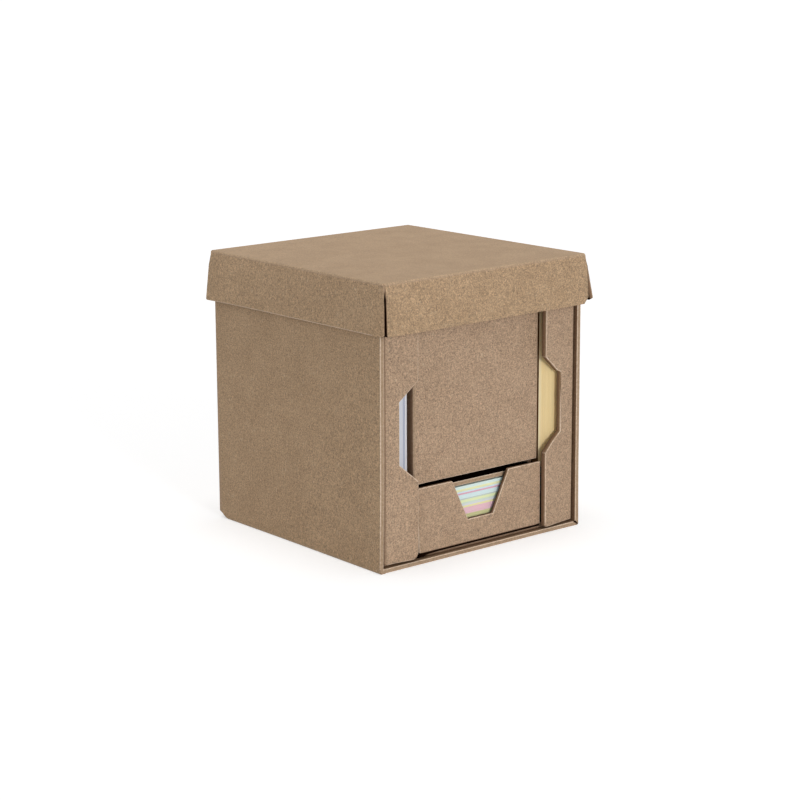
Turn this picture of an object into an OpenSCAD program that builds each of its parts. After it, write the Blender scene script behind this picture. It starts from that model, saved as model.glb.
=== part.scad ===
// Kraft-board note holder: an open-fronted case with a lift-off lid, a tier of
// coloured memo sheets below and two upright note pads beside a centre sleeve.
// X runs left to right, Y front to back, Z up. The origin is the centre of the
// base, on the underside of the case floor.

/* [Board] */
// Thickness of the kraft board that every box piece is folded from
board = 1.7; // [1.2:0.1:2]
// Gap between two boards, or a board and paper, that lie side by side
sheet_gap = 0.3; // [0.2:0.05:0.5]

/* [Memo tier] */
// Width and depth of a square memo sheet
memo_w = 90; // [80:1:110]
// Height of the stack of memo sheets
memo_stack_h = 22.2; // [18:0.1:40]
// Room between the memo sheets and the tray wall on each side
memo_side_gap = 1.3; // [0.5:0.1:4]
// Room between the low front panel and the memo sheets
memo_front_gap = 0.9; // [0.5:0.1:4]
// Room between the memo sheets and the back of the tray
memo_back_gap = 6; // [0.5:0.1:10]

/* [Note pads] */
// Width and height of a note in the upright pads
pad_w = 75; // [60:1:76]
// Thickness of the left pad
left_pad_t = 13; // [8:0.1:16]
// Thickness of the right pad
right_pad_t = 13.6; // [8:0.1:16]
// Room between each pad and the centre sleeve
pad_gap = 1.3; // [0.5:0.1:5]
// Room between the fold of the lips and the pads
pad_front_gap = 2.9; // [2:0.1:6]
// Room between the top of the pads and the lid
pad_top_gap = 4; // [1:0.1:12]

/* [Case] */
// Length of the clip across each lower back corner of the case
corner_clip_y = 6; // [2:0.5:8]
// Height of that clip
corner_clip_z = 2.6; // [1:0.2:4]
// Width of the mitre slit at each lower front corner of the case
mitre_w = 0.4; // [0.2:0.1:0.8]

/* [Lid] */
// Height of the lid's skirts, measured down from the top of the lid
skirt_h = 19.3; // [14:0.5:26]
// Room between the front of the case and the top of the lid's front skirt
lid_front_gap = 1.2; // [1.2:0.1:4]
// Outward lean of the left skirt, in degrees
lean_left = 3; // [0:1:15]
// Outward lean of the right skirt, in degrees
lean_right = 14; // [0:1:20]
// Outward lean of the front skirt, in degrees
lean_front = 5; // [0:1:15]
// Outward lean of the back skirt, in degrees
lean_back = 3; // [0:1:15]
// How far the front skirt reaches over the front end of the left skirt
skirt_overlap = 1.3; // [0.5:0.1:1.6]
// Size of the clip on the front skirt's lower right corner
skirt_clip = 2.4; // [0.5:0.1:5]
// Radius of the other lower corners of the skirts
skirt_corner_r = 0.8; // [0.3:0.1:3]
// Radius of the lid's folds, where the board is pressed thin
lid_fold_r = 1; // [0.9:0.1:1.1]

/* [Front lips and panel] */
// How far the lips stand back from the case's front edges
lip_recess = 1; // [0.6:0.1:1.4]
// Width of the left lip, from its fold to its free edge
left_lip_w = 13.8; // [12:0.1:15]
// Width of the right lip, from its fold to its free edge
right_lip_w = 15.6; // [13:0.1:16.5]
// Gap between the lips and the floor of the case
lip_floor_gap = 1; // [0.3:0.1:1.5]
// Opening of the left lip about its fold, in degrees
lip_open_left = 7.5; // [0:0.5:8]
// Opening of the right lip about its fold, in degrees
lip_open_right = 8; // [0:0.5:8]
// Radius of the lips' upper corners, and of the left lip's lower one
lip_corner_r = 3; // [1:0.5:5]
// Radius of the right lip's lower corner
right_lip_low_r = 1; // [0.5:0.5:5]
// Gap between the free edge of the left lip and the low front panel
panel_side_gap = 2; // [1:0.5:6]
// How far the low front panel stands back from the case's front edges
panel_recess = 1.4; // [1:0.1:3]
// Height that the low front panel rises above the shelf
panel_rise = 1.5; // [0:0.1:2]

/* [Thumb notches] */
// Height of the middle of the side notches above the shelf
side_notch_z = 24.1; // [20:0.1:30]
// Height of a side notch at the lip's free edge
side_notch_mouth_h = 37.8; // [30:0.2:40]
// Height of a side notch at its inner end
side_notch_inner_h = 23.6; // [15:0.2:28]
// Depth of a side notch into the lip
side_notch_depth = 8.2; // [5:0.1:9]
// Width of the low notch at the panel's upper edge
low_notch_mouth_w = 28.6; // [20:0.2:34]
// Width of the low notch at its lower end
low_notch_inner_w = 12.8; // [8:0.2:18]
// Depth of the low notch into the panel
low_notch_depth = 16.2; // [10:0.2:18]

/* [Centre sleeve] */
// How far the sleeve's front stands behind the low front panel
sleeve_front_gap = 0.2; // [0.2:0.1:2]
// Height of the slit under the sleeve's front
sleeve_slit_h = 2.5; // [1:0.1:4]
// How far the sleeve's upper edge stays below the top of the case walls
sleeve_drop = 0.8; // [0.3:0.1:10]
// Outer radius of the sharp folds of the sleeve and the lips
sharp_fold_r = 0.8; // [0.4:0.1:1]

/* [Hidden] */
$fn = 48;

// How far a cutter reaches past what it cuts
past = 1;
// Number of straight steps in a bend
bend_steps = 8;
// Distance from a pressed fold to where the board is full again
press_reach = 4;

// The case is sized around the paper: the memo sheets set its width and depth,
// and the stack below with the pads above it sets its height
lip_fold_x = memo_w / 2 + memo_side_gap;
tray_half_w = lip_fold_x + board;
case_w = 2 * (tray_half_w + sheet_gap + board);
memo_recess = panel_recess + board + memo_front_gap;
case_d = memo_recess + memo_w + memo_back_gap + sheet_gap + board;
front_y = -case_d / 2;
back_y = case_d / 2;
tray_back_y = back_y - board - sheet_gap;
memo_front_y = front_y + memo_recess;

tray_floor_top_z = 2 * board;
shelf_z = tray_floor_top_z + memo_stack_h;
shelf_top_z = shelf_z + board;
lid_under_z = shelf_top_z + pad_w + pad_top_gap;
wall_top_z = lid_under_z - sheet_gap;
tray_top_z = wall_top_z - sheet_gap;

lip_fold_y = front_y + lip_recess + board;
panel_fold_y = front_y + panel_recess + board;
panel_half_w = lip_fold_x - left_lip_w - panel_side_gap;
panel_top_z = shelf_top_z + panel_rise;
pad_front_y = lip_fold_y + pad_front_gap;

lid_half_w = case_w / 2 + sheet_gap;
lid_front_y = front_y - lid_front_gap;
lid_back_y = back_y + sheet_gap;
skirt_len = skirt_h - board;

// Colours of the board and of the paper
kraft = [0.67, 0.56, 0.46];
kraft_shade = [0.62, 0.51, 0.41];
white_paper = [0.86, 0.88, 0.93];
yellow_paper = [0.87, 0.78, 0.55];

// Memo sheets from the top of the stack down: name, share of the height, colour
memo_bundles = [
    ["memo_cyan", 12, [0.80, 0.91, 0.87]],
    ["memo_yellow", 9, [0.93, 0.92, 0.70]],
    ["memo_pale_blue", 7, [0.80, 0.90, 0.96]],
    ["memo_magenta", 6, [0.83, 0.62, 0.70]],
    ["memo_light_blue", 17, [0.80, 0.88, 0.93]],
    ["memo_sage", 5, [0.66, 0.77, 0.72]],
    ["memo_lime", 11, [0.83, 0.91, 0.72]],
    ["memo_mint", 8, [0.76, 0.86, 0.75]],
    ["memo_lavender", 5, [0.84, 0.84, 0.90]],
    ["memo_amber", 8, [0.97, 0.88, 0.65]],
    ["memo_pink", 27, [0.92, 0.74, 0.78]],
    ["memo_green", 17, [0.79, 0.79, 0.55]],
    ["memo_rose", 30, [0.91, 0.70, 0.70]],
    ["memo_sky", 30, [0.68, 0.82, 0.91]],
    ["memo_cream", 30, [0.95, 0.91, 0.78]]
];

function share_above(i) = i == 0 ? 0 : share_above(i - 1) + memo_bundles[i - 1][1];
memo_shares = share_above(len(memo_bundles));

function turned(angle, x, y) = [x * cos(angle) - y * sin(angle), x * sin(angle) + y * cos(angle)];

// Section of a bend and the flat that follows it. The fold's inner corner is the
// origin, the bend starts on the +X axis and turns towards +Y. A pressed bend is
// as thin as its radius and widens again over the start of the flat
module folded_section(angle, flat, bend_r, pressed) {
    inset = board - bend_r;
    centre_y = pressed ? 0 : inset * tan(angle / 2);
    polygon(concat(
        [[0, 0], [board, 0]],
        [for (i = [0:bend_steps]) [inset, centre_y] + turned(angle * i / bend_steps, bend_r, 0)],
        [turned(angle, board, press_reach), turned(angle, board, flat), turned(angle, 0, flat)]
    ));
}

// Section of the flat alone, from where the board is full
module flat_section(angle, flat) {
    polygon([
        turned(angle, 0, press_reach),
        turned(angle, board, press_reach),
        turned(angle, board, flat),
        turned(angle, 0, flat)
    ]);
}

// Stretches a section along the X axis, with its +X towards +Z and its +Y towards -Y
module along_fold(from_x, to_x) {
    translate([from_x, 0, 0])
        rotate([180, -90, 0])
            linear_extrude(to_x - from_x)
                children();
}

// Flap that hangs from a fold on the X axis, outside it towards -Y
module flap_down(angle, flat, from_x, to_x, bend_r = board, pressed = false) {
    along_fold(from_x, to_x)
        folded_section(angle, flat, bend_r, pressed);
}

// Flap that stands up from a fold on the X axis
module flap_up(angle, flat, from_x, to_x) {
    mirror([0, 0, 1])
        flap_down(angle, flat, from_x, to_x);
}

// What is taken off a square corner at the origin to round it
module corner_waste(r) {
    difference() {
        translate([-past, -past])
            square(r + past);
        translate([r, r])
            circle(r);
    }
}

// Rectangle with round corners, its lower left corner at the origin
module rounded_outline(w, d, r) {
    translate([r, 0])
        square([w - 2 * r, d]);
    translate([0, r])
        square([w, d - 2 * r]);
    for (x = [r, w - r], y = [r, d - r])
        translate([x, y])
            circle(r);
}

// Four-sided notch whose mouth lies on the Y axis and which narrows towards +X
module notch_outline(mouth, inner, depth) {
    flank = past * (mouth - inner) / 2 / depth;
    polygon([
        [-past, -mouth / 2 - flank],
        [depth, -inner / 2],
        [depth, inner / 2],
        [-past, mouth / 2 + flank]
    ]);
}

// Cuts an outline, seen from the front, through a board whose back is on the XZ plane
module through_board() {
    translate([0, past, 0])
        rotate([90, 0, 0])
            linear_extrude(board + 2 * past)
                children();
}

// Case

// The slit where the floor's and a side wall's front edges meet
module mitre_slit() {
    translate([-case_w / 2 + board / 2, front_y, board / 2])
        rotate([0, 45, 0])
            cube([2 * board, 2 * board, mitre_w], center = true);
}

// What is clipped off the left wall and the back wall at the lower left back corner
module corner_clip() {
    slope = corner_clip_z / corner_clip_y;
    translate([-case_w / 2 - past, back_y, 0])
        rotate([90, 0, 90])
            linear_extrude(past + board + corner_clip_y)
                polygon([
                    [-corner_clip_y - past, -past * slope],
                    [-corner_clip_y - past, -past],
                    [past, -past],
                    [past, corner_clip_z + past * slope]
                ]);
}

module outer_case() {
    wall_h = wall_top_z - board;
    color(kraft_shade)
        difference() {
            union() {
                translate([-case_w / 2 + board, front_y, 0])
                    cube([case_w - 2 * board, case_d - board, board]);
                for (side = [-1, 1])
                    translate([side * (case_w / 2 - board), 0, board])
                        rotate([0, 0, side * 90])
                            flap_up(90, wall_h, -case_d / 2, case_d / 2);
                translate([0, back_y - board, board])
                    rotate([0, 0, 180])
                        flap_up(90, wall_h, -case_w / 2 + board, case_w / 2 - board);
            }
            mitre_slit();
            corner_clip();
            mirror([1, 0, 0]) {
                mitre_slit();
                corner_clip();
            }
        }
}

// Tray

// What is cut from a front lip, seen from the front with the fold on the Y axis
module lip_waste(lip_w, low_corner_r) {
    translate([lip_w, shelf_top_z + side_notch_z])
        mirror([1, 0, 0])
            notch_outline(side_notch_mouth_h, side_notch_inner_h, side_notch_depth);
    translate([lip_w, board + lip_floor_gap])
        mirror([1, 0, 0])
            corner_waste(low_corner_r);
    translate([lip_w, tray_top_z])
        rotate([0, 0, 180])
            corner_waste(lip_corner_r);
}

// Left side of the tray: wall with its bend to the floor, lip with its bend
module tray_side(open_angle, lip_w, low_corner_r) {
    lip_low_z = board + lip_floor_gap;
    translate([-lip_fold_x, 0, tray_floor_top_z])
        rotate([0, 0, -90])
            flap_up(90, tray_top_z - tray_floor_top_z, -tray_back_y, -lip_fold_y);
    translate([-lip_fold_x, lip_fold_y, 0])
        difference() {
            translate([0, 0, lip_low_z])
                rotate([0, 0, 180])
                    linear_extrude(tray_top_z - lip_low_z)
                        folded_section(90 - open_angle, lip_w, sharp_fold_r, false);
            rotate([0, 0, -open_angle])
                through_board()
                    lip_waste(lip_w, low_corner_r);
        }
}

module inner_tray() {
    color(kraft) {
        translate([-lip_fold_x, panel_fold_y, board])
            cube([2 * lip_fold_x, tray_back_y - panel_fold_y, board]);
        tray_side(lip_open_left, left_lip_w, lip_corner_r);
        mirror([1, 0, 0])
            tray_side(lip_open_right, right_lip_w, right_lip_low_r);
        translate([0, panel_fold_y, 0])
            difference() {
                translate([0, 0, tray_floor_top_z])
                    flap_up(90, panel_top_z - tray_floor_top_z, -panel_half_w, panel_half_w);
                through_board()
                    translate([0, panel_top_z])
                        rotate([0, 0, -90])
                            notch_outline(low_notch_mouth_w, low_notch_inner_w, low_notch_depth);
            }
    }
}

// Tiers

module shelf() {
    half_w = lip_fold_x - sheet_gap;
    color(kraft)
        translate([-half_w, memo_front_y, shelf_z])
            cube([2 * half_w, tray_back_y - memo_front_y, board]);
}

// Upright sleeve with rounded folds, open above, its front cut short of the shelf
module centre_sleeve() {
    left_x = -lip_fold_x + sheet_gap + left_pad_t + pad_gap;
    right_x = lip_fold_x - sheet_gap - right_pad_t - pad_gap;
    sleeve_w = right_x - left_x;
    sleeve_y = panel_fold_y + sleeve_front_gap;
    sleeve_d = tray_back_y - sleeve_y;
    color(kraft)
        translate([left_x, sleeve_y, shelf_top_z])
            difference() {
                linear_extrude(wall_top_z - sleeve_drop - shelf_top_z)
                    difference() {
                        rounded_outline(sleeve_w, sleeve_d, sharp_fold_r);
                        translate([board, board])
                            square([sleeve_w - 2 * board, sleeve_d - 2 * board]);
                    }
                translate([-past, -past, -past])
                    cube([sleeve_w + 2 * past, past + 2 * board, past + sleeve_slit_h]);
            }
}

// Lid

// Round knob that fills the corner between two bends of the lid, towards the
// given sides. The sphere's poles are turned away from it
module corner_knuckle(to_x, to_y) {
    knob_r = 0.9 * lid_fold_r;
    intersection() {
        translate([0, 0, board - lid_fold_r])
            rotate([0, 90, -45 * to_x * to_y])
                sphere(knob_r);
        translate([to_x > 0 ? 0 : -board, to_y > 0 ? 0 : -board, 0])
            cube(board);
    }
}

// Cuts an outline, drawn from the lower edge up, off a skirt that hangs from the origin
module skirt_cut(lean) {
    rotate([-lean, 0, 0])
        translate([0, 0, -skirt_len])
            through_board()
                children();
}

// Skirt with its bend: hangs from the origin, runs from_x to to_x, leans to -Y
module skirt(lean, from_x, to_x) {
    difference() {
        flap_down(90 - lean, skirt_len, from_x, to_x, lid_fold_r, true);
        skirt_cut(lean) {
            translate([from_x, 0])
                corner_waste(skirt_corner_r);
            translate([to_x, 0])
                mirror([1, 0, 0])
                    corner_waste(skirt_corner_r);
        }
    }
}

// Front skirt, which reaches over the left skirt and is clipped on the right
module front_skirt() {
    left_end = -lid_half_w - skirt_overlap;
    difference() {
        union() {
            flap_down(90 - lean_front, skirt_len, -lid_half_w, lid_half_w, lid_fold_r, true);
            along_fold(left_end, -lid_half_w)
                flat_section(90 - lean_front, skirt_len);
        }
        skirt_cut(lean_front) {
            translate([left_end, 0])
                corner_waste(skirt_corner_r);
            translate([lid_half_w, 0])
                polygon([
                    [-skirt_clip - past, -past],
                    [past, -past],
                    [past, skirt_clip + past]
                ]);
        }
    }
}

module lid() {
    color(kraft) {
        translate([-lid_half_w, lid_front_y, lid_under_z])
            cube([2 * lid_half_w, lid_back_y - lid_front_y, board]);
        translate([0, lid_front_y, lid_under_z])
            front_skirt();
        translate([0, lid_back_y, lid_under_z])
            rotate([0, 0, 180])
                skirt(lean_back, -lid_half_w, lid_half_w);
        translate([-lid_half_w, 0, lid_under_z])
            rotate([0, 0, -90])
                skirt(lean_left, -lid_back_y, -lid_front_y);
        translate([lid_half_w, 0, lid_under_z])
            rotate([0, 0, 90])
                skirt(lean_right, lid_front_y, lid_back_y);
        for (x = [-1, 1], y = [lid_front_y, lid_back_y])
            translate([x * lid_half_w, y, lid_under_z])
                corner_knuckle(x, sign(y));
    }
}

// Paper

// Upright note pad between x and x + thickness
module note_pad(x, thickness) {
    translate([x, pad_front_y, shelf_top_z])
        cube([thickness, pad_w, pad_w]);
}

module left_note_pad() {
    color(white_paper)
        note_pad(-lip_fold_x + sheet_gap, left_pad_t);
}

module right_note_pad() {
    color(yellow_paper)
        note_pad(lip_fold_x - sheet_gap - right_pad_t, right_pad_t);
}

// Bundle of memo sheets of one colour
module memo_bundle(name) {
    i = search([name], memo_bundles)[0];
    top = shelf_z - memo_stack_h * share_above(i) / memo_shares;
    height = memo_stack_h * memo_bundles[i][1] / memo_shares;
    color(memo_bundles[i][2])
        translate([-memo_w / 2, memo_front_y, top - height])
            cube([memo_w, memo_w, height]);
}

outer_case();
inner_tray();
shelf();
centre_sleeve();
lid();
left_note_pad();
right_note_pad();
memo_bundle("memo_cyan");  // memo_cyan
memo_bundle("memo_yellow");  // memo_yellow
memo_bundle("memo_pale_blue");  // memo_pale_blue
memo_bundle("memo_magenta");  // memo_magenta
memo_bundle("memo_light_blue");  // memo_light_blue
memo_bundle("memo_sage");  // memo_sage
memo_bundle("memo_lime");  // memo_lime
memo_bundle("memo_mint");  // memo_mint
memo_bundle("memo_lavender");  // memo_lavender
memo_bundle("memo_amber");  // memo_amber
memo_bundle("memo_pink");  // memo_pink
memo_bundle("memo_green");  // memo_green
memo_bundle("memo_rose");  // memo_rose
memo_bundle("memo_sky");  // memo_sky
memo_bundle("memo_cream");  // memo_cream
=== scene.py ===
import math

import bmesh
import bpy
from mathutils import Matrix, Vector, noise
from mathutils.bvhtree import BVHTree


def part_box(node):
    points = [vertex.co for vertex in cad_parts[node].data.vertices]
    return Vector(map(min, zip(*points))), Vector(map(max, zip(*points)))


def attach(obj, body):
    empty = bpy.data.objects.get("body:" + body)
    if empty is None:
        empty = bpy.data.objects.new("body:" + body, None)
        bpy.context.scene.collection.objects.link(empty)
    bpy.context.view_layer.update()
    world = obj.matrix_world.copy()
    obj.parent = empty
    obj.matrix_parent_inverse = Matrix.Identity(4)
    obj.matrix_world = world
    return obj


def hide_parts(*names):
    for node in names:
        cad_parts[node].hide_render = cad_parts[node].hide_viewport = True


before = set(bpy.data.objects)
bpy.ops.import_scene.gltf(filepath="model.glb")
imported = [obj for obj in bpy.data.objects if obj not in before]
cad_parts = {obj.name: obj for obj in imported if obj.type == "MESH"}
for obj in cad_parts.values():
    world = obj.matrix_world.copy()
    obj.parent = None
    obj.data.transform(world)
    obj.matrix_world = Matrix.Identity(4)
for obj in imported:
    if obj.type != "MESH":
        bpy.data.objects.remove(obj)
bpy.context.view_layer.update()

# Places and lengths below are in mm, in the part's own frame, unless a line says otherwise
MM = 0.001


def linear(red, green, blue):
    """A colour as the eye reads it, 0 to 255, in the renderer's own numbers."""
    levels = (value / 255 for value in (red, green, blue))
    straight_below = 0.0404
    return tuple(
        level / 12.92 if level < straight_below else ((level + 0.055) / 1.055) ** 2.4 for level in levels
    ) + (1.0,)


# Painted shade: near black for deep gaps and a shaded brown for recesses, mixed in by how deep a place lies
PAINTED_SHADE_BLACK = linear(26, 11, 4)
SHADED_BROWN = linear(98, 66, 42)
DARK_FLECK = linear(112, 82, 56)
PALE_FLECK = linear(220, 197, 166)
WORN_FOLD = linear(206, 181, 152)
WHITE = (1.0, 1.0, 1.0, 1.0)


# Shader writing


class Wire:
    """A socket that can be added to, subtracted from and scaled as a number is."""

    def __init__(self, paint, socket):
        self.paint = paint
        self.socket = socket

    def _with(self, operation, first, second):
        return self.paint.node("ShaderNodeMath", {"operation": operation}, {0: first, 1: second})

    def __add__(self, other):
        return self._with("ADD", self, other)

    def __radd__(self, other):
        return self._with("ADD", other, self)

    def __sub__(self, other):
        return self._with("SUBTRACT", self, other)

    def __rsub__(self, other):
        return self._with("SUBTRACT", other, self)

    def __mul__(self, other):
        return self._with("MULTIPLY", self, other)

    def __rmul__(self, other):
        return self._with("MULTIPLY", other, self)


class Paint:
    """A material being mixed: one Principled shader and the nodes that feed it."""

    def __init__(self, name, roughness=0.85, specular=0.2):
        self.material = bpy.data.materials.new(name)
        self.material.use_nodes = True
        self.tree = self.material.node_tree
        self.shader = self.tree.nodes["Principled BSDF"]
        self.shader.inputs["Roughness"].default_value = roughness
        self.shader.inputs["Specular IOR Level"].default_value = specular

    def node(self, kind, settings=None, values=None, out=0):
        """Adds a node, sets and feeds it, and gives one of its outputs."""
        made = self.tree.nodes.new(kind)
        for key, value in (settings or {}).items():
            if key == "stops":
                self._stops(made.color_ramp, value)
            else:
                setattr(made, key, value)
        for key, value in (values or {}).items():
            self.feed(made.inputs[key], value)
        return Wire(self, made.outputs[out])

    def _stops(self, ramp, stops):
        while len(ramp.elements) > len(stops):
            ramp.elements.remove(ramp.elements[-1])
        while len(ramp.elements) < len(stops):
            ramp.elements.new(1.0)
        for element, (place, colour) in zip(ramp.elements, stops):
            element.position = place
            element.color = colour

    def feed(self, socket, value):
        if isinstance(value, Wire):
            self.tree.links.new(value.socket, socket)
        else:
            socket.default_value = value

    def surface(self, name, value):
        self.feed(self.shader.inputs[name], value)

    def place(self):
        """Object coordinates in mm."""
        where = self.node("ShaderNodeTexCoord", out="Object")
        return self.node("ShaderNodeVectorMath", {"operation": "SCALE"}, {0: where, "Scale": 1000.0})

    def stretched(self, where, scale):
        return self.node("ShaderNodeVectorMath", {"operation": "MULTIPLY"}, {0: where, 1: scale})

    def grain(self, where, scale, detail, rough, twist=0.0):
        """Noise around 0.5, finer with a larger scale."""
        return self.node(
            "ShaderNodeTexNoise",
            {"noise_dimensions": "3D"},
            {"Vector": where, "Scale": scale, "Detail": detail, "Roughness": rough, "Distortion": twist},
        )

    def measure(self, name):
        """A number that the mesh holds at each point."""
        return self.node("ShaderNodeAttribute", {"attribute_name": name}, out="Fac")

    def ramp(self, value, low, high):
        """0 below low, 1 above high, smooth between."""
        return self.node(
            "ShaderNodeMapRange",
            {"interpolation_type": "SMOOTHSTEP", "clamp": True},
            {"Value": value, "From Min": low, "From Max": high, "To Min": 0.0, "To Max": 1.0},
        )

    def mix(self, share, first, second):
        """The first colour where share is 0, the second where it is 1."""
        made = self.tree.nodes.new("ShaderNodeMix")
        made.data_type = "RGBA"
        factor, colour_a, colour_b, colour_result = 0, 6, 7, 2
        for socket, value in ((factor, share), (colour_a, first), (colour_b, second)):
            self.feed(made.inputs[socket], value)
        return Wire(self, made.outputs[colour_result])

    def shade(self, colour, brightness):
        """A colour scaled by a number near 1."""
        if not isinstance(colour, Wire):
            colour = colour[:3]
        return self.node("ShaderNodeVectorMath", {"operation": "SCALE"}, {0: colour, "Scale": brightness})

    def paint_deep_shade(self, share, colour):
        """Painted shade: where share is 1 the surface shows the colour alone, with no sheen, as a deep gap
        in shade.
        """
        deep = self.tree.nodes.new("ShaderNodeBsdfPrincipled")
        deep.inputs["Base Color"].default_value = colour
        deep.inputs["Roughness"].default_value = 1.0
        deep.inputs["Specular IOR Level"].default_value = 0.0
        both = self.tree.nodes.new("ShaderNodeMixShader")
        self.feed(both.inputs[0], share)
        self.tree.links.new(self.shader.outputs[0], both.inputs[1])
        self.tree.links.new(deep.outputs[0], both.inputs[2])
        self.tree.links.new(both.outputs[0], self.tree.nodes["Material Output"].inputs["Surface"])

    def relief(self, height, distance):
        """Bumps as high as the distance, in metres, where height is 1."""
        bump = self.node("ShaderNodeBump", {}, {"Height": height, "Distance": distance, "Strength": 1.0})
        self.surface("Normal", bump)


# Finishes


def in_painted_shade(paint, colour, measure="hollow"):
    """Painted shade: browner towards the inner side of a cut or a fold, nearly black in the gap itself."""
    hollow = paint.measure(measure)
    paint.paint_deep_shade(paint.ramp(hollow, 0.6, 0.85), PAINTED_SHADE_BLACK)
    return paint.mix(paint.ramp(hollow, 0.05, 0.45) * 0.66, colour, SHADED_BROWN)


def kraft_face(name, dark, pale):
    """Brown paper: cloudy pulp, short fibres both ways, dark and pale flecks, paler along folds, with
    painted shade where the face lies in a gap.
    """
    paint = Paint(name, roughness=0.75, specular=0.5)
    where = paint.place()
    cloud = paint.grain(where, 0.09, 3.0, 0.55)
    pulp = paint.grain(where, 1.3, 3.0, 0.6, 0.3)
    fine = paint.grain(where, 2.3, 2.0, 0.6)
    upright = paint.grain(paint.stretched(where, (2.0, 2.0, 0.4)), 1.0, 3.0, 0.6)
    level = paint.grain(paint.stretched(where, (0.35, 0.35, 2.2)), 1.0, 3.0, 0.6)
    coarse = paint.measure("grain")
    speckle = (pulp - 0.5) * 1.3 + (fine - 0.5) * 1.9 + (upright - 0.5) * 0.55 + (level - 0.5) * 0.35
    shade = 1 + (cloud - 0.5) * 0.09 + speckle * coarse
    base = paint.mix(paint.ramp(cloud, 0.3, 0.7), dark, pale)
    colour = paint.shade(base, shade)
    flecks = paint.grain(paint.stretched(where, (1.0, 1.0, 0.6)), 1.35, 1.0, 0.4, 1.2)
    colour = paint.mix(paint.ramp(flecks, 0.66, 0.74) * coarse * 0.5, colour, DARK_FLECK)
    colour = paint.mix(paint.ramp(flecks, 0.34, 0.27) * coarse * 0.4, colour, PALE_FLECK)
    worn = (1 - paint.ramp(paint.measure("fold_mm"), 0.1, 1.1)) * (0.4 + 0.5 * pulp)
    colour = paint.mix(worn * 0.35, colour, WORN_FOLD)
    # Painted shade: browner, then black, where the face lies in a gap or crease
    paint.surface("Base Color", in_painted_shade(paint, colour, "face_hollow"))
    paint.surface("Roughness", 0.72 + (pulp - 0.5) * 0.2)
    paint.relief((pulp * 0.5 + fine * 0.4 + upright * 0.3) * coarse, 0.0001)
    return paint.material


def board_core():
    """Cut edge: pressed pulp, a little paler than the face, with painted shade where it lies in a gap."""
    paint = Paint("cut edge of the board", roughness=0.9, specular=0.15)
    where = paint.place()
    pulp = paint.grain(where, 1.3, 4.0, 0.65)
    fine = paint.grain(where, 3.2, 2.0, 0.6)
    colour = paint.mix(paint.ramp(pulp, 0.3, 0.7), linear(170, 142, 114), linear(192, 165, 139))
    colour = paint.shade(colour, 1 + (fine - 0.5) * 0.5)
    # Painted shade where the cut edge lies in a gap
    paint.surface("Base Color", in_painted_shade(paint, colour))
    paint.relief(pulp * 0.6 + fine * 0.4, 0.00012)
    return paint.material


def board_arris_wear_and_highlight():
    """The rounded edge between face and cut: rubbed paler, and paler still as a painted highlight, with
    painted shade where it lies in a gap.
    """
    paint = Paint("rubbed edge of the board with painted highlight", roughness=0.85, specular=0.2)
    where = paint.place()
    pulp = paint.grain(where, 1.2, 4.0, 0.65)
    colour = paint.mix(paint.ramp(pulp, 0.3, 0.7), linear(208, 182, 155), linear(250, 228, 204))
    paint.surface("Base Color", in_painted_shade(paint, colour))
    paint.relief(pulp, 0.00008)
    return paint.material


def note_paper(name, spread, colour=None, across=None, shade_painted_from=None):
    """
    Smooth writing paper in a stack: each sheet a shade of its own, with faint lint along its edge.

    It has one colour, or stops of colour across the stack. Past shade_painted_from, a distance from the
    middle, it is darkened as painted shade, because there it lies behind the board.
    """
    paint = Paint(name, roughness=0.7, specular=0.2)
    where = paint.place()
    lint = paint.grain(where, 2.4, 2.0, 0.5)
    shade = 1 + (paint.measure("sheet_tone") - 0.5) * spread + (lint - 0.5) * 0.05
    # Painted shade: darker where the paper lies behind the board
    if shade_painted_from:
        from_left = paint.node("ShaderNodeSeparateXYZ", {}, {"Vector": where})
        aside = paint.node("ShaderNodeMath", {"operation": "ABSOLUTE"}, {0: from_left})
        shade = shade * (1 - paint.ramp(aside, shade_painted_from, shade_painted_from + 6) * 0.9)
    if across:
        colour = paint.node("ShaderNodeValToRGB", {"stops": across}, {"Fac": paint.measure("sheet_place")})
    paint.surface("Base Color", paint.shade(colour, shade))
    paint.relief(lint, 0.00001)
    return paint.material


# Board pieces


THROUGH_BOARD = 2.6  # a face is the board's cut edge if the board is deeper than this behind it
CUT_SPACING = 7.0
ROUNDING = 0.26
ROUNDED_FROM = math.radians(40)
SMOOTH_UP_TO = math.radians(38)
FAR_FROM_FOLD = 20.0
TOP_GRAIN = 0.42  # how strong the grain is on the lid's top, which is seen at a flat angle


def distance_to(point, start, end):
    """How far a point lies from the line between two others."""
    along = end - start
    share = max(0.0, min(1.0, (point - start).dot(along) / along.length_squared))
    return (point - start - along * share).length


def cut_plane(mesh, axis, at):
    """Cuts the mesh in one plane across an axis, at a place in metres."""
    normal = Vector((0, 0, 0))
    normal[axis] = 1
    whole = list(mesh.verts) + list(mesh.edges) + list(mesh.faces)
    bmesh.ops.bisect_plane(mesh, geom=whole, dist=1e-7, plane_co=normal * at, plane_no=normal)


def cut_across(mesh, axis):
    """Cuts the mesh in evenly spaced planes across an axis, so that its flat faces can bow."""
    places = sorted({round(v.co[axis], 7) for v in mesh.verts})
    low, high = places[0], places[-1]
    count = max(1, round((high - low) / (CUT_SPACING * MM)))
    for step in range(1, count):
        at = low + (high - low) * step / count
        if all(abs(p - at) > 0.6 * MM for p in places):
            cut_plane(mesh, axis, at)


def new_object(name, data):
    """An object in the scene that shows the data."""
    made = bpy.data.objects.new(name, data)
    bpy.context.scene.collection.objects.link(made)
    return made


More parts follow.
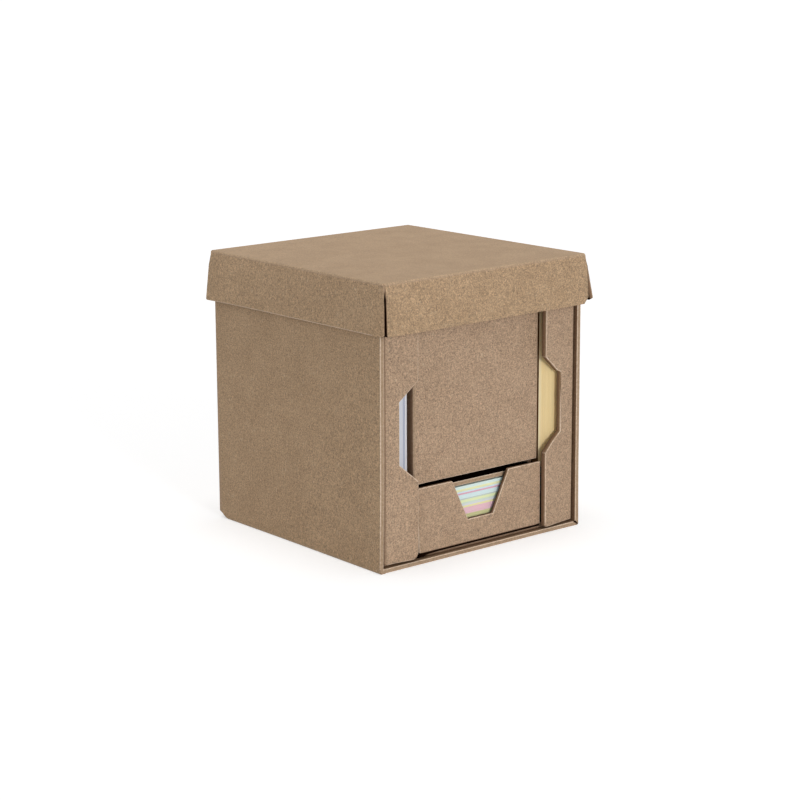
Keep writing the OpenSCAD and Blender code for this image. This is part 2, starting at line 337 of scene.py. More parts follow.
def board_piece(
    node, body, kraft, bow, folds=(), hollow=None, face_hollow=None, cuts=(), smooth_top=None, square=None
):
    """
    A folded board with the node's shape: rubbed edges, paler partly as a painted highlight, pulpy cut
    edges, worn folds, painted shade in its gaps and a slight bow.

    bow gives how far each place moves. folds are the lines along which the face is worn. hollow
    and face_hollow say how deep in a gap a place lies, 0 to 1, for the cut edges and the faces, and so how
    much shade is painted there.
    cuts are extra planes, as axis and place. smooth_top is the height above which the grain is
    weaker. square says where edges stay sharp.
    """
    mesh = bmesh.new()
    mesh.from_mesh(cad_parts[node].data)
    bmesh.ops.remove_doubles(mesh, verts=mesh.verts, dist=2e-6)
    inside = BVHTree.FromBMesh(mesh)
    for face in mesh.faces:
        face.normal_update()
        middle = face.calc_center_median() - face.normal * 2e-5
        found = inside.ray_cast(middle, -face.normal)
        face.material_index = 0 if found[3] is not None and found[3] < THROUGH_BOARD * MM else 1
    bmesh.ops.dissolve_limit(
        mesh, angle_limit=math.radians(0.5), verts=mesh.verts, edges=mesh.edges, delimit={"MATERIAL"}
    )
    bmesh.ops.triangulate(mesh, faces=[f for f in mesh.faces if len(f.verts) > 4])
    for axis, at in cuts:
        cut_plane(mesh, axis, at * MM)
    for axis in range(3):
        cut_across(mesh, axis)
    measures = ("fold_mm", "hollow", "face_hollow", "grain")
    layers = {name: mesh.verts.layers.float.new(name) for name in measures}
    face_hollow = face_hollow or hollow
    square_points = {vertex for vertex in mesh.verts if square and square(vertex.co / MM)}
    for vertex in mesh.verts:
        spot = vertex.co / MM
        from_folds = [distance_to(spot, Vector(start), Vector(end)) for start, end in folds]
        vertex[layers["fold_mm"]] = min(from_folds + [FAR_FROM_FOLD])
        # Painted shade: how much shade is painted at each point
        vertex[layers["hollow"]] = hollow(spot) if hollow else 0.0
        vertex[layers["face_hollow"]] = face_hollow(spot) if face_hollow else 0.0
        vertex[layers["grain"]] = TOP_GRAIN if smooth_top and spot.z > smooth_top else 1.0
    for vertex in mesh.verts:
        vertex.co += bow(vertex.co / MM) * MM
    bmesh.ops.remove_doubles(mesh, verts=[v for v in mesh.verts if v not in square_points], dist=3e-5)
    rounded = mesh.edges.layers.float.new("bevel_weight_edge")
    sharp_with = 1 if node == "lid" else 2  # so many square ends keep an edge sharp
    for edge in mesh.edges:
        if len(edge.link_faces) != 2 or not edge.is_convex or edge.calc_face_angle(0) < ROUNDED_FROM:
            continue
        square_ends = sum(vertex in square_points for vertex in edge.verts)
        if edge.calc_length() > 0.05 * MM and square_ends < sharp_with:
            edge[rounded] = 1.0
    bmesh.ops.triangulate(mesh, faces=[f for f in mesh.faces if len(f.verts) > 4])
    data = bpy.data.meshes.new(node + "_board")
    mesh.to_mesh(data)
    mesh.free()
    for polygon in data.polygons:
        polygon.use_smooth = True
    data.set_sharp_from_angle(angle=SMOOTH_UP_TO)
    piece = new_object(node + "_board", data)
    for material in (kraft, CORE, ARRIS_WEAR_AND_HIGHLIGHT):
        data.materials.append(material)
    edge_round = piece.modifiers.new("rubbed edges", "BEVEL")
    edge_round.limit_method = "WEIGHT"
    edge_round.width = ROUNDING * MM
    edge_round.segments = 2
    # The rounded edges take the arris paint: rubbed paler, and paler still as a painted highlight
    edge_round.material = 2
    edge_round.use_clamp_overlap = False
    even = piece.modifiers.new("even shading", "WEIGHTED_NORMAL")
    even.keep_sharp = True
    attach(piece, body)
    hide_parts(node)


# Paper pieces

WANDER_PACE = 0.09  # how fast a stack wanders from sheet to sheet
TONE_SEED = 5


def page_stack_tree():
    """Sheets of paper laid on each other along Z, each shifted and turned a little."""
    tree = bpy.data.node_groups.new("page stack", "GeometryNodeTree")
    face = tree.interface
    face.new_socket("Geometry", in_out="OUTPUT", socket_type="NodeSocketGeometry")
    for name, kind in (
        ("Sheet Size", "NodeSocketVector"),
        ("Sheets", "NodeSocketInt"),
        ("Pitch", "NodeSocketFloat"),
        ("Shift", "NodeSocketVector"),
        ("Drift", "NodeSocketVector"),
        ("Turn", "NodeSocketFloat"),
        ("Corner", "NodeSocketVector"),
        ("Seed", "NodeSocketInt"),
        ("Paper", "NodeSocketMaterial"),
    ):
        face.new_socket(name, in_out="INPUT", socket_type=kind)
    nodes, links = tree.nodes, tree.links
    given = nodes.new("NodeGroupInput").outputs
    column = nodes.new("GeometryNodeMeshLine")
    links.new(given["Sheets"], column.inputs["Count"])
    links.new(given["Corner"], column.inputs["Start Location"])
    rise = nodes.new("ShaderNodeCombineXYZ")
    links.new(given["Pitch"], rise.inputs["Z"])
    links.new(rise.outputs[0], column.inputs["Offset"])
    back = nodes.new("ShaderNodeVectorMath")
    back.operation = "SCALE"
    back.inputs["Scale"].default_value = -1.0
    links.new(given["Shift"], back.inputs[0])
    scatter = nodes.new("FunctionNodeRandomValue")
    scatter.data_type = "FLOAT_VECTOR"
    links.new(back.outputs[0], scatter.inputs[0])
    links.new(given["Shift"], scatter.inputs[1])
    links.new(given["Seed"], scatter.inputs["Seed"])
    count = nodes.new("GeometryNodeInputIndex")
    slow = nodes.new("ShaderNodeMath")
    slow.operation = "MULTIPLY_ADD"
    slow.inputs[1].default_value = WANDER_PACE
    links.new(count.outputs[0], slow.inputs[0])
    links.new(given["Seed"], slow.inputs[2])
    drift = nodes.new("ShaderNodeTexNoise")
    drift.noise_dimensions = "1D"
    drift.inputs["Scale"].default_value = 1.0
    links.new(slow.outputs[0], drift.inputs["W"])
    # The noise lies around 0.5, and this spreads it around 0
    centred = nodes.new("ShaderNodeVectorMath")
    centred.operation = "MULTIPLY_ADD"
    centred.inputs[1].default_value = (4.0, 4.0, 4.0)
    centred.inputs[2].default_value = (-2.0, -2.0, -2.0)
    links.new(drift.outputs["Color"], centred.inputs[0])
    wander = nodes.new("ShaderNodeVectorMath")
    wander.operation = "MULTIPLY"
    links.new(centred.outputs[0], wander.inputs[0])
    links.new(given["Drift"], wander.inputs[1])
    both = nodes.new("ShaderNodeVectorMath")
    both.operation = "ADD"
    links.new(scatter.outputs[0], both.inputs[0])
    links.new(wander.outputs[0], both.inputs[1])
    moved = nodes.new("GeometryNodeSetPosition")
    links.new(column.outputs[0], moved.inputs["Geometry"])
    links.new(both.outputs[0], moved.inputs["Offset"])
    sheet = nodes.new("GeometryNodeMeshCube")
    links.new(given["Sheet Size"], sheet.inputs["Size"])
    turn = nodes.new("FunctionNodeRandomValue")
    turn.data_type = "FLOAT"
    links.new(given["Seed"], turn.inputs["Seed"])
    less = nodes.new("ShaderNodeMath")
    less.operation = "MULTIPLY"
    less.inputs[1].default_value = -1.0
    links.new(given["Turn"], less.inputs[0])
    links.new(less.outputs[0], turn.inputs[2])
    links.new(given["Turn"], turn.inputs[3])
    spin = nodes.new("ShaderNodeCombineXYZ")
    links.new(turn.outputs[1], spin.inputs["Z"])
    laid = nodes.new("GeometryNodeInstanceOnPoints")
    links.new(moved.outputs[0], laid.inputs["Points"])
    links.new(sheet.outputs["Mesh"], laid.inputs["Instance"])
    links.new(spin.outputs[0], laid.inputs["Rotation"])
    tone = nodes.new("FunctionNodeRandomValue")
    tone.data_type = "FLOAT"
    tone.inputs["Seed"].default_value = TONE_SEED
    marked = nodes.new("GeometryNodeStoreNamedAttribute")
    marked.data_type = "FLOAT"
    marked.domain = "INSTANCE"
    marked.inputs["Name"].default_value = "sheet_tone"
    links.new(laid.outputs[0], marked.inputs["Geometry"])
    links.new(tone.outputs[1], marked.inputs["Value"])
    place = nodes.new("GeometryNodeStoreNamedAttribute")
    place.data_type = "FLOAT"
    place.domain = "INSTANCE"
    place.inputs["Name"].default_value = "sheet_place"
    index = nodes.new("GeometryNodeInputIndex")
    share = nodes.new("ShaderNodeMath")
    share.operation = "DIVIDE"
    links.new(index.outputs[0], share.inputs[0])
    links.new(given["Sheets"], share.inputs[1])
    links.new(marked.outputs[0], place.inputs["Geometry"])
    links.new(share.outputs[0], place.inputs["Value"])
    real = nodes.new("GeometryNodeRealizeInstances")
    links.new(place.outputs[0], real.inputs[0])
    papered = nodes.new("GeometryNodeSetMaterial")
    links.new(real.outputs[0], papered.inputs["Geometry"])
    links.new(given["Paper"], papered.inputs["Material"])
    links.new(papered.outputs[0], nodes.new("NodeGroupOutput").inputs[0])
    return tree


SHEET_PITCH = 0.1
SHEET_SHARE = 0.94  # how much of the pitch a sheet takes
STACK_FOOT = 3.4 * MM
SETTLED = 0.026  # the memo stack has settled by this share of its height


def page_stack(node, slot, paper, shift, drift, turn, seed, upright=False, forward=0.0, skew=0.0):
    """
    A stack of sheets that fills the node's box: flat on each other, or on edge side by side.

    shift is how far a sheet lies off by chance, drift how far the stack wanders slowly, turn how
    far a sheet turns, in degrees. forward moves the stack to the front, and skew moves its right
    side on by that share of its width.
    """
    low, high = (Vector(corner) - Vector((0.0, forward * MM, 0.0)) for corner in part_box(node))
    size = high - low
    if upright:
        size = Vector((size.z, size.y, size.x))
    count = max(2, round(size.z / (SHEET_PITCH * MM)))
    step = size.z / count
    grower = new_object(node + "_sheets", bpy.data.meshes.new("empty"))
    grow = grower.modifiers.new("pages", "NODES")
    grow.node_group = PAGE_STACK
    sockets = PAGE_STACK.interface.items_tree
    inputs = {socket.name: socket.identifier for socket in sockets if socket.in_out == "INPUT"}
    play = (Vector(shift) + Vector(drift)) * MM
    values = {
        "Sheet Size": (size.x - 2 * play.x, size.y - 2 * play.y, step * SHEET_SHARE),
        "Sheets": count,
        "Pitch": step,
        "Shift": Vector(shift) * MM,
        "Drift": Vector(drift) * MM,
        "Turn": math.radians(turn),
        "Corner": (0.0, 0.0, -size.z / 2 + step / 2),
        "Seed": seed,
        "Paper": paper,
    }
    for name, value in values.items():
        grow[inputs[name]] = value
    evaluated = grower.evaluated_get(bpy.context.evaluated_depsgraph_get())
    data = bpy.data.meshes.new_from_object(evaluated)
    data.name = node + "_sheets"
    bpy.data.objects.remove(grower)
    piece = new_object(node + "_sheets", data)
    if upright:
        data.transform(Matrix.Rotation(math.radians(90), 4, "Y"))
    data.transform(Matrix.Translation((low + high) / 2))
    if skew:
        for vertex in data.vertices:
            vertex.co.y -= skew * (vertex.co.x - low.x)
    if not upright:
        for vertex in data.vertices:
            vertex.co.z -= SETTLED * (vertex.co.z - STACK_FOOT)
    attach(piece, "holder")
    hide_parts(node)


# The boards: how each one bows, and how much shade is painted where it lies in a gap

FRONT = -51.0
CASE_WALL = 48.2  # what lies further out belongs to the side walls
LIPS_TO = -46.5  # the side lips and the low panel lie in front of this
TRAY_TOP = 103  # what lies higher is hidden under the lid
PANEL_SIDE = 30.6
PANEL_TOP = 29.0
PANEL_END = 30.4  # what lies further out is the panel's cut end
PANEL_CREASE = 3.425
LIP_FOLD = 46.3


def ripple(place, size):
    """A slow wave of the board, in mm."""
    return noise.noise(place * size)


def between(value, low, high):
    """0 at low, 1 at high."""
    return max(0.0, min(1.0, (value - low) / (high - low)))


def still(place):
    """A board that hardly bows."""
    wave = ripple(place, 0.02)
    return Vector((wave, wave, 0.0)) * 0.04


def case_bow(place):
    """The case stands a little wider at the foot of its open front."""
    move = still(place)
    front = 1 - between(place.y, FRONT, 10)
    low = 1 - between(place.z, 0, 55)
    if place.x < -CASE_WALL:
        move.x -= 0.8 * front * low
    if place.x > CASE_WALL:
        move.x += (0.35 + 0.4 * low) * front
    from_fold_centre = Vector((abs(place.x) - 48.017, 0.0, place.z - 1.983))
    x, z = from_fold_centre.x, from_fold_centre.z
    if x > 0.1 and z < -0.1 and from_fold_centre.length > 1.5:
        squarer = from_fold_centre * (0.18 * (2 * x * z / from_fold_centre.length_squared) ** 2)
        outward = min(squarer.x, 50.0 - abs(place.x))
        move += Vector((math.copysign(outward, place.x), 0.0, max(squarer.z, -place.z)))
    return move


def case_foot(place):
    """The round folds between the floor and the side walls: no rubbed edge there."""
    return abs(place.x) > 47.9 and place.z < 2.1


def case_painted_shade(place):
    """Painted shade: dark strips inside the open front, on the floor before the lips and the walls beside
    them.
    """
    before_lips = 1 - between(place.y, -46.0, -40.0)
    depth = between(place.y, FRONT, -50.4) * before_lips
    if abs(place.x) < 48.35 and 1.6 < place.z < 2.0:
        return 0.05 + 0.33 * depth
    if CASE_WALL < abs(place.x) < 48.4 and place.z > 1.6:
        return 0.1 + 0.35 * depth + 0.17 * between(place.y, -50.4, -49.5) * before_lips
    return 0.0


SLEEVE_MIDDLE = -0.3
LIP_OPEN = {-1: math.tan(math.radians(7.6)), 1: math.tan(math.radians(8.05))}


def behind_lips(place):
    """How far a place lies behind the outer face of the side lips, in mm."""
    side = 1 if place.x > 0 else -1
    return place.y + 50.0 + LIP_OPEN[side] * (LIP_FOLD - abs(place.x))


def tray_bow(place):
    """
    The low panel's crease is pressed in and its ends reach further out; the side lips are thicker
    on their inner side, the right notch deeper and the right lip's free edge wider at its foot.
    """
    move = still(place)
    if place.y > LIPS_TO:
        return move
    if abs(place.x) < PANEL_SIDE and place.z < PANEL_TOP:
        if abs(place.z - PANEL_CREASE) < 0.05 and place.y < -49.5:
            move.y += 0.35
        if place.x < -PANEL_END:
            move.x -= 0.9 * between(place.z, 6.0, 12.0)
        if place.x > PANEL_END:
            move.x += 0.5
        return move
    if abs(place.x) < 46.2 and behind_lips(place) > 1.0:
        move.y += 0.65 * between(place.x, -LIP_FOLD, -36.0) * between(-place.x, -LIP_FOLD, -36.0)
    at_notch_end = 38.5 < place.x < 40.0
    if at_notch_end:
        move.x += 0.9
    at_free_edge = 30.0 < place.x < 37.0
    if at_free_edge:
        move.x += 0.45 * (1 - between(place.z, 5.0, 60.0))
    return move


def panel_painted_shade(place):
    """Painted shade: black at the foot of the low panel, brown to black on its inner side."""
    deep = between(place.y, -49.55, -48.0) if place.z > 3.9 else 0.0
    foot = 3.35
    if place.y < -49.3:
        deep = max(deep, 1 - between(abs(place.z - foot), 0.25, 0.75))
    if place.z < foot:
        deep = max(deep, 0.3)
    return max(deep, 1.0 if place.x < -PANEL_END and place.z < 4.0 else 0.0)


def tray_painted_shade(place):
    """Painted shade on the cut edges: brown to black on the inner side of the lips, the notches and the
    panel.
    """
    if place.y > LIPS_TO or place.z > TRAY_TOP:
        return 0.0
    if abs(place.x) < PANEL_SIDE and place.z < PANEL_TOP:
        return panel_painted_shade(place)
    return 0.8 * between(behind_lips(place), 0.1, 1.6) if abs(place.x) < 46.2 else 0.0


def tray_face_painted_shade(place):
    """Painted shade on the faces: dark lines in the creases along the lips' folds and at the foot of the
    panel.
    """
    if place.y > LIPS_TO or place.z > TRAY_TOP:
        return 0.0
    if abs(place.x) < PANEL_SIDE and place.z < PANEL_TOP:
        return panel_painted_shade(place)
    in_crease = place.x < -46.0 or place.x > 47.6
    return 0.62 * between(abs(place.x), 46.7, 47.25) if in_crease else 0.0


def shelf_painted_shade(place):
    """Painted shade: the shelf's upper side lies in the gap under the sleeve, and is painted black."""
    return 1.0 if place.z > 27.0 else 0.0


def sleeve_painted_shade(place):
    """Painted shade: the sides of the sleeve stand in the narrow gap beside the pads, and darken, as does
    its foot.
    """
    if place.z > 104 or place.y > 40:
        return 0.0
    aside = between(abs(place.x - SLEEVE_MIDDLE), 31.15, 31.38)
    depth = 0.36 * between(place.y, -47.4, -46.9) + 0.2 * between(place.y, -46.9, -44.5)
    under = 0.6 if place.z < 30.5 and place.y > -46.5 else 0.0
    return max(aside * depth, under)


def lip_fold_ends(place):
    """The ends of the side lips' folds, where the cut edge turns too tightly to be rounded."""
    at_end = place.z > 105.5 or place.z < 2.9
    return abs(place.x) > 45.9 and place.y < -47.2 and at_end


def sleeve_fold_ends(place):
    """The same at the sleeve's four folds."""
    at_end = place.z > 105.0 or place.z < 30.0
    return abs(place.x - SLEEVE_MIDDLE) > 30.3 and (place.y < -46.6 or place.y > 47.9) and at_end


# The lid: places are given as in the solid, before the bow
LEAN_LEFT = math.tan(math.radians(3))
LEAN_RIGHT = math.tan(math.radians(14))
LEAN_FRONT = math.tan(math.radians(5))
LID_SIDE = 50.3  # inner face of the skirts at their folds
LID_UNDER = 106.3  # underside of the lid's top
SKIRT = 17.6


def lid_corner(place):
    """The knuckles between the lid's folds and the round corners of the skirts stay unrubbed."""
    if place.z > 106.0:
        return abs(place.x) > 50.2 and (place.y < -52.1 or place.y > 51.2)
    on_skirt = abs(place.x) > 50.1 or abs(place.y) > 51.0
    near_corner = abs(place.x) < 51.7 or place.y < -51.3 or place.y > 50.4
    return place.z < 91.6 and on_skirt and near_corner


def lid_end(place):
    """Which skirt's end at the lid's front left corner a place is on, if any."""
    round_corner = place.x < -51.0 and place.z < 95
    if place.x > -50.25 or place.y > (-51.3 if round_corner else -52.15):
        return ""
    if place.y > -52.23 and place.x < -50.35:
        return "left"
    if place.z > 105.95 and place.x < -50.32:
        return "knuckle"
    return "front" if place.y < -52.25 else ""


def lid_painted_shade(place):
    """Painted shade: black in the slits between the skirts' ends at the two front corners, and dark on the
    right skirt's inner face there.
    """
    drop = LID_UNDER - place.z
    end = lid_end(place)
    if place.z > 105.9:
        return 0.15 if end == "knuckle" else 0.0
    if end == "left":
        lean = drop * LEAN_LEFT
        return 3.0 * (1 - between(-place.x, 50.35 + lean, 51.9 + lean))
    if end == "front":
        lean = drop * LEAN_FRONT
        return 3.0 * (1 - between(-place.y, 52.25 + lean, 53.8 + lean))
    if place.x > 50.35 and place.y < -44:
        outward = place.x - LID_SIDE - drop * LEAN_RIGHT
        return (0.75 if place.y < -52.1 else 1.0) - 0.7 * between(outward, 0.1, 1.5)
    return 0.0


def lid_end_bow(place, end, move, drop, below):
    """How the two skirts' ends beside the slit move: they meet edge to edge, the left one in front."""
    if end == "front":
        if drop < 0:
            move.x = 0.5 * between(drop, -1.4, 0.0)
            return move
        target = -50.1 - 0.75 * below
        move.x = target + 51.6 if place.x < -50.35 else target - place.x
        return move
    if drop < 0:
        move.x += 0.35 * between(-place.x, LID_SIDE, 51.3) * between(drop, -1.6, 0.0)
        move.y = -1.0 - 1.15 * between(drop, -1.6, 0.0)
        return move
    outward = -place.x - LID_SIDE - drop * LEAN_LEFT
    target = -51.1 - 0.5 * below + 0.7 * (1 - between(outward, 0.0, 1.7))
    share = between(-place.y, 51.2, 52.2)
    return Vector(((target - place.x) * share, (-54.35 - 0.7 * below + 52.2) * share, move.z))


def lid_bow(place):
    """The lid sits a little askew; its left skirt reaches forward past the end of the front skirt."""
    drop = LID_UNDER - place.z
    below = between(drop, 0.0, SKIRT)
    move = Vector((0.0, 0.0, 0.25 * ((place.x + 51) + (52 - place.y)) / 103))
    if place.y < 0:
        move.y = -0.7 * min(1.0, -place.y / 52.2) * between(-place.x, -51, 51)
    else:
        move.y = 0.6 * min(1.0, place.y / 51.3) * between(place.x, -51, 51)
    left = between(-place.x, LID_SIDE, 51.0)
    right = between(place.x, 50.2, 51.0)
    back = between(place.y, 5.0, 51.0)
    front = 1 - between(place.y, -52.2, 0.0)
    end = lid_end(place)
    if end in ("front", "left"):
        return lid_end_bow(place, end, move, drop, below)
    move.x += 0.25 * left + 0.35 * below * left * front
    move.x -= (0.25 + 0.2 * (1 - below)) * right
    move.x -= left * below * (1.3 * back * back + 0.2 * ripple(place, 0.03))
    move.x += right * below * 0.3 * ripple(place, 0.03)
    if place.y < -52.3:
        move.y -= below * 0.3 * ripple(place, 0.03)
    if end == "knuckle":
        move.y = -1.0 - 1.0 * between(drop, -1.6, 0.3) - (place.y + 52.2) * 0.98
        move.x += 0.3 * between(-place.x, 50.4, 51.2)
    return move


def fold_end(name, material, corners, front, back):
    """
    A small piece at the front end of one of the case's lower folds.

    corners are X and Z of its outline, front and back where it starts and ends along Y.
    """
    mesh = bmesh.new()
    rings = []
    for y in (front, back):
        ring = []
        for x, z in corners:
            spot = Vector((x, y, z))
            ring.append(mesh.verts.new((spot + case_bow(spot)) * MM))
        rings.append(ring)
    mesh.faces.new(rings[0])
    mesh.faces.new(reversed(rings[1]))
    for first, second in zip(range(len(corners)), [*range(1, len(corners)), 0]):
        mesh.faces.new((rings[0][second], rings[0][first], rings[1][first], rings[1][second]))
    bmesh.ops.recalc_face_normals(mesh, faces=mesh.faces)
    data = bpy.data.meshes.new(name)
    mesh.to_mesh(data)
    mesh.free()
    data.materials.append(material)
    piece = new_object(name, data)
    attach(piece, "holder")


def painted_crack_shade():
    """Painted shade deep in a crack: near-black, mottled like pulp."""
    paint = Paint("painted shade in an open crack", roughness=0.95, specular=0.05)
    pulp = paint.grain(paint.place(), 3.0, 2.0, 0.6)
    paint.surface("Base Color", paint.mix(pulp, linear(20, 9, 4), linear(52, 30, 18)))
    return paint.material


OUTER_KRAFT = kraft_face("outer kraft board face", linear(176, 146, 113), linear(181, 151, 118))
INNER_KRAFT = kraft_face("inner kraft board face", linear(178, 149, 122), linear(183, 154, 127))
CORE = board_core()
ARRIS_WEAR_AND_HIGHLIGHT = board_arris_wear_and_highlight()
CRACK_SHADE = painted_crack_shade()
PAGE_STACK = page_stack_tree()

board_piece(
    "outer_case",
    "holder",
    OUTER_KRAFT,
    bow=case_bow,
    folds=[
        ((-49.5, -51, 0.5), (-49.5, 51, 0.5)),
        ((49.5, -51, 0.5), (49.5, 51, 0.5)),
        ((-48.3, 50.5, 0.5), (48.3, 50.5, 0.5)),
        ((-50, 51, 1.7), (-50, 51, 106)),
        ((50, 51, 1.7), (50, 51, 106)),
    ],
    hollow=case_painted_shade,
    square=case_foot,
    cuts=[(1, -50.4), (1, -49.5), (1, -46.0), (1, -40.0)],
)
# The case's mitre slits are cut along the fold; the real corner has an open crack across it, on the right
for side, way in (("left", -1), ("right", 1)):
    outline = ((50.0, 1.98), (49.975, 1.385), (48.615, 0.025), (48.02, 0.0))
    fold_end(side + "_mitre_filling", CORE, [(way * x, z) for x, z in outline], -51.003, -49.28)
# The crack is a thin near-black plate just behind the front face: painted shade standing in for the inside
# of the crack
crack_outline = [(48.15, 1.95), (48.5, 1.85), (49.55, 0.6), (49.35, 0.5), (48.1, 1.55)]
fold_end("right_corner_crack_shade", CRACK_SHADE, crack_outline, -51.04, -50.9)
board_piece(
    "inner_tray",
    "holder",
    INNER_KRAFT,
    bow=tray_bow,
    hollow=tray_painted_shade,
    face_hollow=tray_face_painted_shade,
    square=lip_fold_ends,
    cuts=[(0, -47.25), (0, -46.7), (2, 3.425), (2, 3.6), (2, 3.8), (2, 4.15), (2, 8.0), (2, 103.0)],
)
board_piece("shelf", "holder", INNER_KRAFT, bow=still, face_hollow=shelf_painted_shade)
board_piece(
    "centre_sleeve",
    "holder",
    INNER_KRAFT,
    bow=still,
    folds=[
        ((-31.5, -47.5, 29.8), (-31.5, -47.5, 105.2)),
        ((30.9, -47.5, 29.8), (30.9, -47.5, 105.2)),
    ],
    hollow=sleeve_painted_shade,
    square=sleeve_fold_ends,
    cuts=[(1, -46.9), (1, -44.5), (2, 30.6), (2, 104.0)],
)
board_piece(
    "lid",
    "lid",
    OUTER_KRAFT,
    bow=lid_bow,
    folds=[
        ((-51, -52.9, 107.7), (-51, 52, 107.7)),
        ((51, -52.9, 107.7), (51, 52, 107.7)),
        ((-51, -52.9, 107.7), (51, -52.9, 107.7)),
        ((-51, 52, 107.7), (51, 52, 107.7)),
    ],
    hollow=lid_painted_shade,
    smooth_top=107.9,
    square=lid_corner,
)

# The paper, from the top of the memo stack down

MEMO_COLOURS = {
    "memo_cyan": (236, 254, 250),
    "memo_yellow": (250, 252, 204),
    "memo_pale_blue": (234, 248, 255),
    "memo_magenta": (236, 184, 202),
    "memo_light_blue": (236, 254, 255),
    "memo_sage": (212, 224, 220),
    "memo_lime": (246, 255, 208),
    "memo_mint": (230, 242, 232),
    "memo_lavender": (238, 240, 250),
    "memo_amber": (255, 248, 194),
    "memo_pink": (255, 216, 226),
    "memo_green": (234, 232, 176),
    "memo_rose": (232, 178, 178),
    "memo_sky": (174, 208, 232),
    "memo_cream": (243, 232, 198),
}

for seed, (bundle, colour) in enumerate(MEMO_COLOURS.items(), start=20):
    page_stack(
        bundle,
        bundle,
        # Painted shade: the memo sheets darken past 17 mm from the middle, where they lie behind the board
        note_paper(bundle + " paper", 0.08, colour=linear(*colour), shade_painted_from=17),
        shift=(0.04, 0.03, 0),
        drift=(0.3, 0.1, 0),
        turn=0.03,
        seed=seed,
    )

# Colours across the pads, from their left side to their right
LEFT_PAD_ACROSS = [
    (0.0, linear(232, 235, 244)),
    (0.85, linear(232, 235, 244)),
    (0.872, linear(186, 192, 212)),
    (0.895, linear(226, 232, 244)),
    (0.92, linear(170, 176, 200)),
    (0.945, linear(252, 252, 255)),
    (0.985, linear(252, 250, 252)),
    # Painted shade: the last sheets darken where they lie in the gap beside the sleeve
    (1.0, linear(150, 130, 118)),
]
RIGHT_PAD_ACROSS = [
    # Painted shade: the first sheets are dark where they lie in the gap beside the sleeve
    (0.0, linear(120, 84, 48)),
    (0.015, linear(255, 240, 200)),
    (0.12, linear(250, 226, 172)),
    (0.6, linear(254, 230, 174)),
    (0.92, linear(250, 220, 160)),
    (1.0, linear(240, 200, 138)),
]
PAD_PLAY = {"shift": (0.03, 0.03, 0), "drift": (0.2, 0.08, 0), "turn": 0.01, "upright": True}
white_notes = note_paper("white note paper", 0.06, across=LEFT_PAD_ACROSS)
yellow_notes = note_paper("yellow note paper", 0.12, across=RIGHT_PAD_ACROSS)
page_stack("left_note_pad", "white_paper", white_notes, seed=3, **PAD_PLAY)
page_stack("right_note_pad", "yellow_paper", yellow_notes, seed=4, forward=1.3, skew=0.1, **PAD_PLAY)

# Floor, light and camera


FLOOR_TONE = 0.7
FLOOR_GLOW = 0.53  # what the floor needs beside its own light to look white


def white_floor():
    """A pale floor that looks white to the camera and still takes the shadow."""
    paint = Paint("white floor", roughness=0.9, specular=0.0)
    paint.shader.inputs["Base Color"].default_value = (FLOOR_TONE, FLOOR_TONE, FLOOR_TONE, 1.0)
    rays = paint.tree.nodes.new("ShaderNodeLightPath").outputs
    glow = Wire(paint, rays["Is Camera Ray"])
    for kind in ("Is Glossy Ray", "Is Transmission Ray"):
        glow = paint.node("ShaderNodeMath", {"operation": "MAXIMUM"}, {0: glow, 1: Wire(paint, rays[kind])})
    paint.shader.inputs["Emission Color"].default_value = WHITE
    paint.surface("Emission Strength", glow * FLOOR_GLOW)
    return paint.material


FLOOR_REACH = 9  # metres
corners = [(x * FLOOR_REACH, y * FLOOR_REACH, 0) for x, y in ((-1, -1), (1, -1), (1, 1), (-1, 1))]
floor_mesh = bpy.data.meshes.new("floor")
floor_mesh.from_pydata(corners, [], [(0, 1, 2, 3)])
floor = new_object("floor", floor_mesh)
floor_mesh.materials.append(white_floor())


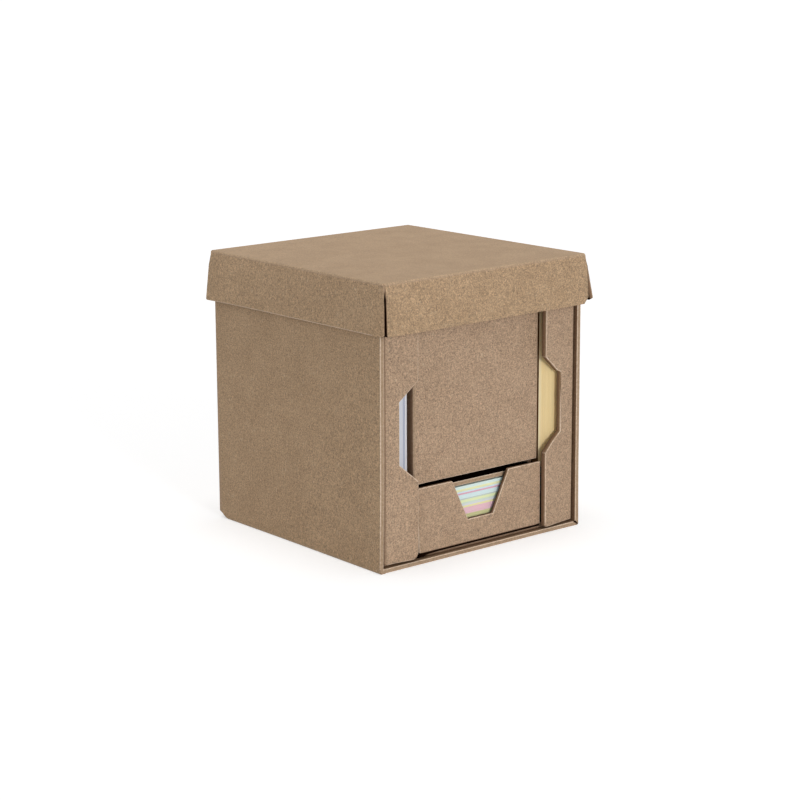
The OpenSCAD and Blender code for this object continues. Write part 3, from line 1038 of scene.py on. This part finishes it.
def studio_walls():
    """Light from all round, strong low down and weak overhead; white where it is looked at."""
    world = bpy.data.worlds.new("studio")
    bpy.context.scene.world = world
    world.use_nodes = True
    tree = world.node_tree
    nodes, links = tree.nodes, tree.links
    light = nodes["Background"]
    light.inputs["Color"].default_value = WHITE
    heading = nodes.new("ShaderNodeNewGeometry")
    split = nodes.new("ShaderNodeSeparateXYZ")
    links.new(heading.outputs["Incoming"], split.inputs[0])
    fade = nodes.new("ShaderNodeMapRange")
    fade.interpolation_type = "SMOOTHSTEP"
    for name, value in (("From Min", -0.3), ("From Max", -0.8), ("To Min", 0.7), ("To Max", 0.15)):
        fade.inputs[name].default_value = value
    links.new(split.outputs["Z"], fade.inputs["Value"])
    rays = nodes.new("ShaderNodeLightPath")
    seen = nodes.new("ShaderNodeMath")
    seen.operation = "MAXIMUM"
    links.new(rays.outputs["Is Camera Ray"], seen.inputs[0])
    links.new(rays.outputs["Is Glossy Ray"], seen.inputs[1])
    level = nodes.new("ShaderNodeMapRange")
    level.inputs["To Max"].default_value = 1.0
    links.new(seen.outputs[0], level.inputs["Value"])
    links.new(fade.outputs[0], level.inputs["To Min"])
    links.new(level.outputs[0], light.inputs["Strength"])


studio_walls()


def soft_lamp(name, towards, strength, spread):
    """A broad soft lamp, far off in that direction."""
    lamp = bpy.data.lights.new(name, "SUN")
    lamp.energy = strength
    lamp.angle = math.radians(spread)
    new_object(name, lamp).rotation_euler = Vector(towards).to_track_quat("Z", "Y").to_euler()


soft_lamp("overhead lamp", (0.0, 0.0, 1.0), 1.12, 30)
soft_lamp("front lamp", (-0.16, -0.95, 0.2), 0.98, 14)

# The camera, fitted to the box's corners in the photo: its place is in metres, the roll in radians
CAMERA_AT = (-0.5267, -0.6294, 0.2366)
yaw, pitch, roll = math.radians(40.022), math.radians(12.859), 0.003922
ahead = Vector((math.sin(yaw) * math.cos(pitch), math.cos(yaw) * math.cos(pitch), -math.sin(pitch)))
right = Vector((math.cos(yaw), -math.sin(yaw), 0.0))
above = right.cross(ahead)
right, above = (
    math.cos(roll) * right - math.sin(roll) * above,
    math.sin(roll) * right + math.cos(roll) * above,
)
lens = bpy.data.cameras.new("camera")
lens.lens = 96.367
lens.sensor_width = 36.0
lens.sensor_fit = "HORIZONTAL"
lens.clip_start = 0.01
lens.clip_end = 60.0
camera = new_object("camera", lens)
camera.matrix_world = Matrix.Translation(CAMERA_AT) @ Matrix(
    (
        (right.x, above.x, -ahead.x, 0),
        (right.y, above.y, -ahead.y, 0),
        (right.z, above.z, -ahead.z, 0),
        (0, 0, 0, 1),
    )
)
bpy.context.scene.camera = camera
bpy.context.scene.view_settings.view_transform = "Standard"
